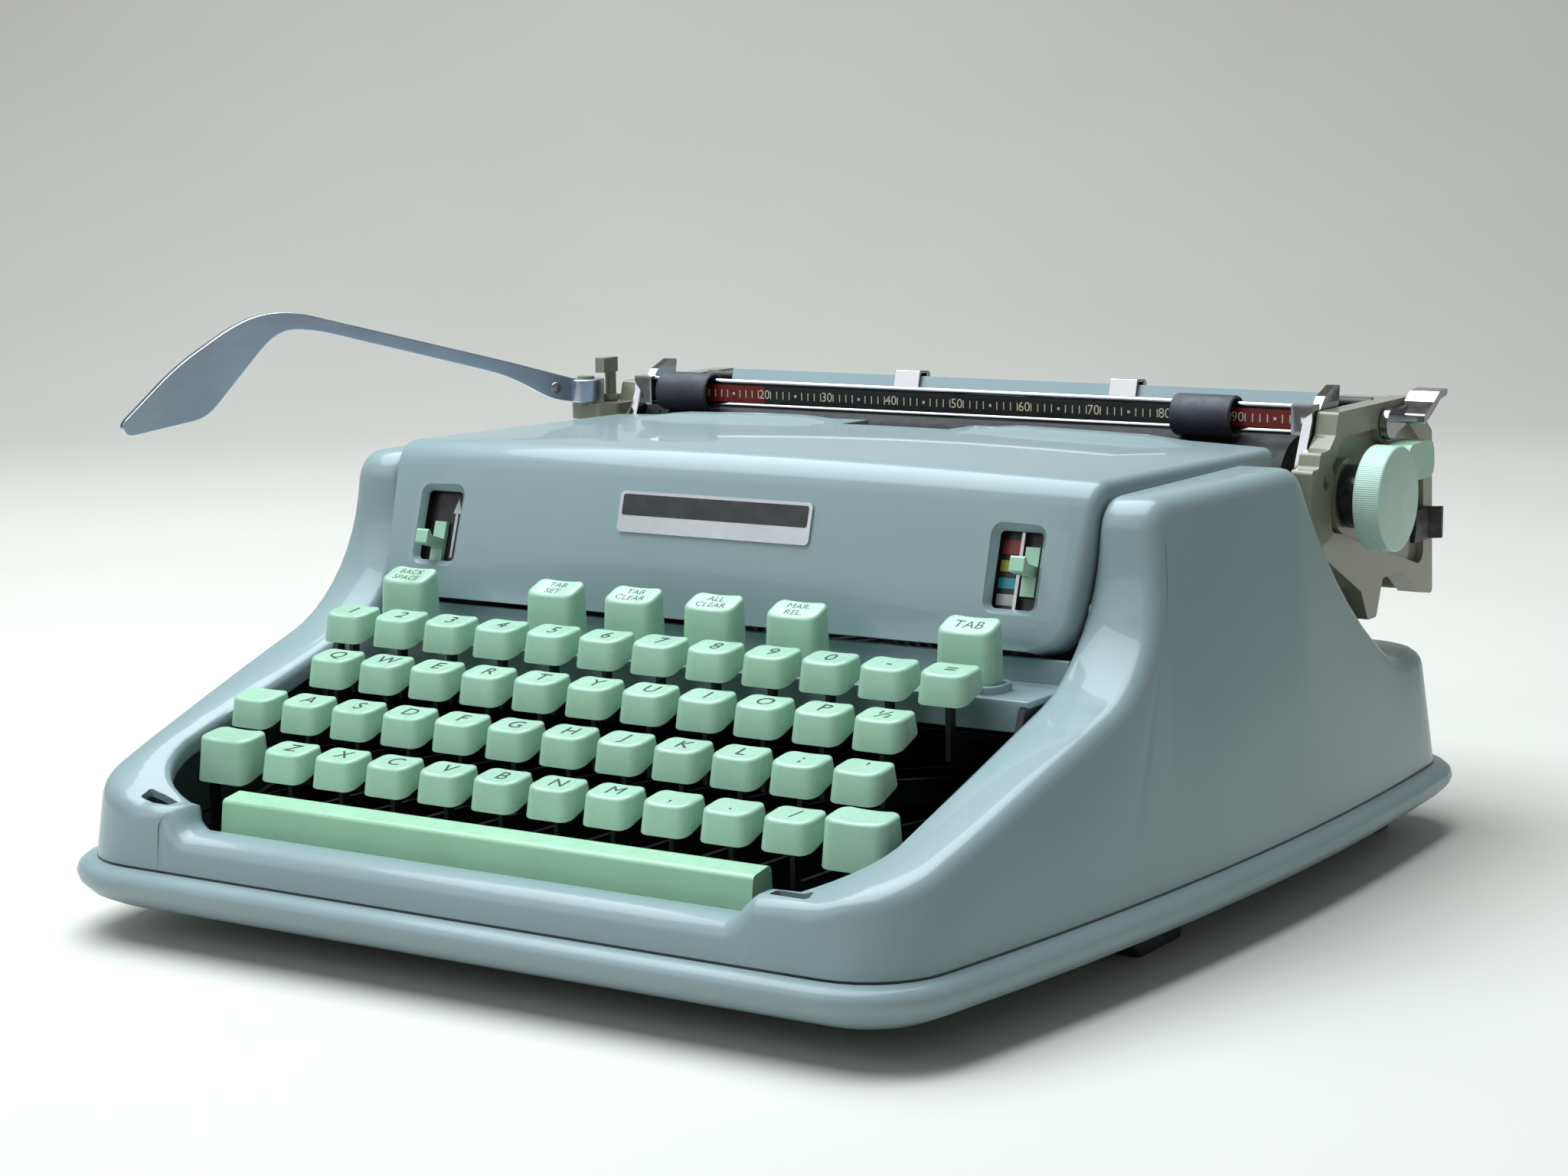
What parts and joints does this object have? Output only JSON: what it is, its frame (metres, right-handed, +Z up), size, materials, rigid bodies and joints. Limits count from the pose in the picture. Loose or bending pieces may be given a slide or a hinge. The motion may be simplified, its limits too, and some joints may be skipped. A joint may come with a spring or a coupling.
{
  "type": "portable typewriter",
  "caption": "Portable manual typewriter with a bowed painted shell, hinged top cover, sloping key bank, sliding carriage with platen and paper bail, and a long return lever.",
  "frame": {"origin": "middle of the machine's width on the table plane under its feet", "axes": "+X to the typist's right, +Y away from the typist, +Z up"},
  "size_m": [0.379, 0.3639, 0.169],
  "materials": {
    "body_paint": "semi-gloss",
    "key_green": "gloss",
    "plate_olive": "satin",
    "dark_steel": "matte",
    "steel": "satin",
    "chrome": "polished",
    "lever_alloy": "brushed",
    "rubber": "matte"
  },
  "bodies": {
    "machine": {"base_pan": "body_paint", "feet": "rubber", "body_shell": "body_paint", "key_shelf": "body_paint", "side_frames": "dark_steel", "cross_bars": "steel", "key_fulcrum": "steel", "carriage_rail": "steel", "ribbon_cups": "dark_steel"},
    "cover": {"hood": "body_paint", "hood_hinge": "steel", "window_plates": "dark_steel"},
    "touch": {"touch_lever": "key_green"},
    "colour": {"colour_lever": "key_green"},
    "carriage": {"carriage_bed": "plate_olive", "carriage_rack": "steel", "end_plate_left": "plate_olive", "end_plate_right": "plate_olive", "paper_table": "body_paint", "rear_cover": "plate_olive", "guide_rod": "dark_steel"},
    "platen": {"platen_roller": "rubber", "platen_shaft": "steel", "platen_knob_left": "key_green", "platen_knob_right": "key_green"},
    "bail": {"bail_scale": "dark_steel", "bail_frame": "chrome"},
    "bail_wheel_left": {"bail_roller_left": "rubber"},
    "bail_wheel_right": {"bail_roller_right": "rubber"},
    "return_arm": {"return_lever": "lever_alloy"},
    "release_left": {"carriage_release_left": "key_green"},
    "release_right": {"carriage_release_right": "key_green"},
    "paper_release_arm": {"paper_release": "chrome"},
    "selector": {"line_selector": "plate_olive"},
    "guide_left": {"paper_guide_left": "chrome"},
    "guide_right": {"paper_guide_right": "chrome"},
    "number_row": {"number_row_caps": "key_green", "number_row_levers": "dark_steel"},
    "upper_row": {"upper_row_caps": "key_green", "upper_row_levers": "dark_steel"},
    "home_row": {"home_row_caps": "key_green", "home_row_levers": "dark_steel"},
    "lower_row": {"lower_row_caps": "key_green", "lower_row_levers": "dark_steel"},
    "shift_key_left": {"shift_left": "key_green"},
    "shift_key_right": {"shift_right": "key_green"},
    "lock_key": {"shift_lock": "key_green"},
    "space": {"space_bar": "key_green"},
    "back": {"back_key": "key_green"},
    "tab_set": {"tab_set_key": "key_green"},
    "tab_clear": {"tab_clear_key": "key_green"},
    "all_clear": {"all_clear_key": "key_green"},
    "margin": {"margin_release_key": "key_green"},
    "tabulator": {"tabulator_key": "key_green"},
    "spool_left": {"ribbon_spool_left": "steel"},
    "spool_right": {"ribbon_spool_right": "steel"},
    "basket": {"type_segment": "steel", "typebars": "steel"},
    "vibrator": {"ribbon_vibrator": "steel"},
    "drum": {"spring_drum": "steel"}
  },
  "joints": [
    {"name": "cover_hinge", "type": "hinge", "parent": "machine", "child": "cover", "pos_m": [0, 0.086, 0.122], "axis": [-1, 0, 0], "range_deg": [0, 65]},
    {"name": "touch_slide", "type": "slide", "parent": "cover", "child": "touch", "axis": [0, 0.3007, 0.9537], "range_m": [-0.003, 0.012]},
    {"name": "colour_slide", "type": "slide", "parent": "cover", "child": "colour", "axis": [0, 0.3007, 0.9537], "range_m": [-0.007, 0.007]},
    {"name": "carriage_slide", "type": "slide", "parent": "machine", "child": "carriage", "axis": [-1, 0, 0], "range_m": [-0.11, 0.11]},
    {"name": "platen_turn", "type": "hinge", "parent": "carriage", "child": "platen", "pos_m": [0, 0.119, 0.111], "axis": [1, 0, 0], "continuous": true},
    {"name": "bail_pivot", "type": "hinge", "parent": "carriage", "child": "bail", "pos_m": [0, 0.102, 0.117], "axis": [1, 0, 0], "range_deg": [0, 30]},
    {"name": "bail_wheel_left_turn", "type": "hinge", "parent": "bail", "child": "bail_wheel_left", "pos_m": [0, 0.1105, 0.1352], "axis": [1, 0, 0], "continuous": true},
    {"name": "bail_wheel_right_turn", "type": "hinge", "parent": "bail", "child": "bail_wheel_right", "pos_m": [0, 0.1105, 0.1352], "axis": [1, 0, 0], "continuous": true},
    {"name": "return_pivot", "type": "hinge", "parent": "carriage", "child": "return_arm", "pos_m": [-0.143, 0.098, 0.135], "axis": [0, 0, 1], "range_deg": [0, 30], "stiffness_Nm_per_rad": 0.1},
    {"name": "release_left_pivot", "type": "hinge", "parent": "carriage", "child": "release_left", "pos_m": [0, 0.152, 0.104], "axis": [1, 0, 0], "range_deg": [0, 8], "stiffness_Nm_per_rad": 0.2, "springref_deg": -8.59},
    {"name": "release_right_pivot", "type": "hinge", "parent": "carriage", "child": "release_right", "pos_m": [0, 0.152, 0.104], "axis": [1, 0, 0], "range_deg": [0, 8], "stiffness_Nm_per_rad": 0.2, "springref_deg": -8.59},
    {"name": "paper_release_pivot", "type": "hinge", "parent": "carriage", "child": "paper_release_arm", "pos_m": [0, 0.148, 0.131], "axis": [1, 0, 0], "range_deg": [0, 20]},
    {"name": "selector_turn", "type": "hinge", "parent": "carriage", "child": "selector", "pos_m": [-0.1395, 0.108, 0.13], "axis": [0, 0, 1], "range_deg": [-20, 20]},
    {"name": "guide_left_slide", "type": "slide", "parent": "carriage", "child": "guide_left", "axis": [1, 0, 0], "range_m": [-0.06, 0.03]},
    {"name": "guide_right_slide", "type": "slide", "parent": "carriage", "child": "guide_right", "axis": [1, 0, 0], "range_m": [-0.03, 0.06]},
    {"name": "number_row_press", "type": "hinge", "parent": "machine", "child": "number_row", "pos_m": [0, 0.062, 0.027], "axis": [1, 0, 0], "range_deg": [0, 4.4], "stiffness_Nm_per_rad": 4, "springref_deg": -6.88},
    {"name": "upper_row_press", "type": "hinge", "parent": "machine", "child": "upper_row", "pos_m": [0, 0.062, 0.027], "axis": [1, 0, 0], "range_deg": [0, 3.8], "stiffness_Nm_per_rad": 4, "springref_deg": -6.88},
    {"name": "home_row_press", "type": "hinge", "parent": "machine", "child": "home_row", "pos_m": [0, 0.062, 0.027], "axis": [1, 0, 0], "range_deg": [0, 3.4], "stiffness_Nm_per_rad": 4, "springref_deg": -6.88},
    {"name": "lower_row_press", "type": "hinge", "parent": "machine", "child": "lower_row", "pos_m": [0, 0.062, 0.027], "axis": [1, 0, 0], "range_deg": [0, 3.1], "stiffness_Nm_per_rad": 4, "springref_deg": -6.88},
    {"name": "lock_press", "type": "hinge", "parent": "machine", "child": "lock_key", "pos_m": [0, 0.062, 0.027], "axis": [1, 0, 0], "range_deg": [0, 3], "stiffness_Nm_per_rad": 1, "springref_deg": -8.59},
    {"name": "space_press", "type": "hinge", "parent": "machine", "child": "space", "pos_m": [0, 0.062, 0.027], "axis": [1, 0, 0], "range_deg": [0, 1.9], "stiffness_Nm_per_rad": 2, "springref_deg": -8.59},
    {"name": "basket_shift", "type": "slide", "parent": "machine", "child": "basket", "axis": [0, 0, -1], "range_m": [0, 0.0065], "stiffness_N_per_m": 600, "springref_m": -0.012},
    {"name": "shift_left_press", "type": "hinge", "parent": "machine", "child": "shift_key_left", "pos_m": [0, 0.062, 0.027], "axis": [1, 0, 0], "range_deg": [0, 2.1]},
    {"name": "shift_right_press", "type": "hinge", "parent": "machine", "child": "shift_key_right", "pos_m": [0, 0.062, 0.027], "axis": [1, 0, 0], "range_deg": [0, 2.1]},
    {"name": "back_press", "type": "slide", "parent": "machine", "child": "back", "axis": [0, 0, -1], "range_m": [0, 0.005], "stiffness_N_per_m": 150, "springref_m": -0.005},
    {"name": "tab_set_press", "type": "slide", "parent": "machine", "child": "tab_set", "axis": [0, 0, -1], "range_m": [0, 0.005], "stiffness_N_per_m": 150, "springref_m": -0.005},
    {"name": "tab_clear_press", "type": "slide", "parent": "machine", "child": "tab_clear", "axis": [0, 0, -1], "range_m": [0, 0.005], "stiffness_N_per_m": 150, "springref_m": -0.005},
    {"name": "all_clear_press", "type": "slide", "parent": "machine", "child": "all_clear", "axis": [0, 0, -1], "range_m": [0, 0.005], "stiffness_N_per_m": 150, "springref_m": -0.005},
    {"name": "margin_press", "type": "slide", "parent": "machine", "child": "margin", "axis": [0, 0, -1], "range_m": [0, 0.005], "stiffness_N_per_m": 150, "springref_m": -0.005},
    {"name": "tabulator_press", "type": "slide", "parent": "machine", "child": "tabulator", "axis": [0, 0, -1], "range_m": [0, 0.005], "stiffness_N_per_m": 150, "springref_m": -0.005},
    {"name": "vibrator_lift", "type": "slide", "parent": "basket", "child": "vibrator", "axis": [0, 0, 1], "range_m": [0, 0.008]},
    {"name": "spool_left_turn", "type": "hinge", "parent": "machine", "child": "spool_left", "pos_m": [-0.09, 0.022, 0.1], "axis": [0, 0, 1], "continuous": true},
    {"name": "spool_right_turn", "type": "hinge", "parent": "machine", "child": "spool_right", "pos_m": [0.09, 0.022, 0.1], "axis": [0, 0, 1], "continuous": true},
    {"name": "drum_turn", "type": "hinge", "parent": "machine", "child": "drum", "pos_m": [-0.084, 0.108, 0.02], "axis": [0, 0, 1], "range_deg": [-352, 352]}
  ],
  "couplings": [
    {"joint": "shift_left_press", "follows": "basket_shift", "rad_per_m": 5.6388},
    {"joint": "shift_right_press", "follows": "basket_shift", "rad_per_m": 5.6388},
    {"joint": "spool_right_turn", "follows": "spool_left_turn", "ratio": 1},
    {"joint": "drum_turn", "follows": "carriage_slide", "rad_per_m": -55.556}
  ]
}
